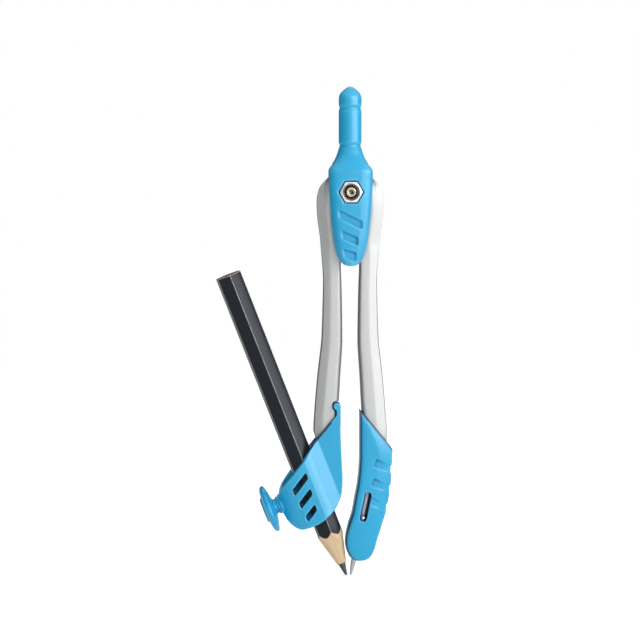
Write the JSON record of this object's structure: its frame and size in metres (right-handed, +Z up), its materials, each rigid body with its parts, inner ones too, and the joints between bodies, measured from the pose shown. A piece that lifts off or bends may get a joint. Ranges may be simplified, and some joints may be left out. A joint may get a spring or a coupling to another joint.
{
  "type": "drawing compass",
  "caption": "School drawing compass with a moulded handle, metal legs on a friction pivot, a clamp that holds a half-length pencil and a retracting needle.",
  "frame": {"origin": "on the handle's axis, halfway up the straight part of the grip", "axes": "+Z up along the handle's axis, +X to the right as seen from the front, -Y out of the front face that carries the nut"},
  "size_m": [0.0483, 0.0132, 0.1346],
  "materials": {
    "blue_plastic": "light blue moulded plastic, soft satin gloss",
    "silver_metal": "cast leg with a fine silver flake coat",
    "plated_steel": "bright plated steel",
    "brass": "plain turned brass",
    "washer_fibre": "thin grey friction washer",
    "pencil_wood": "dark lacquer on the flats, bare sharpened wood at the point",
    "pencil_graphite": "graphite lead with a faint sheen"
  },
  "bodies": {
    "handle": {"handle": "blue_plastic", "pivot_bolt": "brass", "hex_nut": "plated_steel", "front_washer": "washer_fibre", "middle_washer": "washer_fibre", "rear_washer": "washer_fibre"},
    "left_leg": {"left_leg": "silver_metal", "pencil_holder": "blue_plastic", "clamp_insert": "brass"},
    "clamp_pad": {"pressure_pad": "plated_steel"},
    "thumb_screw": {"clamp_screw": "plated_steel", "thumb_knob": "blue_plastic"},
    "pencil": {"pencil_casing": "pencil_wood", "pencil_lead": "pencil_graphite"},
    "right_leg": {"right_leg": "silver_metal", "needle_cover": "blue_plastic", "detent_spring": "plated_steel"},
    "needle": {"needle_carrier": "plated_steel", "carrier_stud": "plated_steel", "needle": "plated_steel"}
  },
  "joints": [
    {"name": "left_leg_pivot", "type": "hinge", "parent": "handle", "child": "left_leg", "pos_m": [0, 0, -0.0174], "axis": [0, 1, 0], "range_deg": [0, 40]},
    {"name": "right_leg_pivot", "type": "hinge", "parent": "handle", "child": "right_leg", "pos_m": [0, 0, -0.0174], "axis": [0, -1, 0], "range_deg": [0, 40]},
    {"name": "pencil_slide", "type": "slide", "parent": "left_leg", "child": "pencil", "axis": [-0.3633, 0, 0.9317], "range_m": [0, 0.03]},
    {"name": "clamp_travel", "type": "slide", "parent": "left_leg", "child": "clamp_pad", "axis": [-0.9317, 0, -0.3633], "range_m": [0, 0.001]},
    {"name": "thumb_turn", "type": "hinge", "parent": "clamp_pad", "child": "thumb_screw", "pos_m": [-0.01002, 0, -0.09997], "axis": [-0.9317, 0, -0.3633], "range_deg": [0, 720]},
    {"name": "needle_slide", "type": "slide", "parent": "right_leg", "child": "needle", "axis": [0.196, 0, 0.9806], "range_m": [0, 0.0064]}
  ],
  "couplings": [
    {"joint": "thumb_turn", "follows": "clamp_travel", "rad_per_m": 12566}
  ]
}
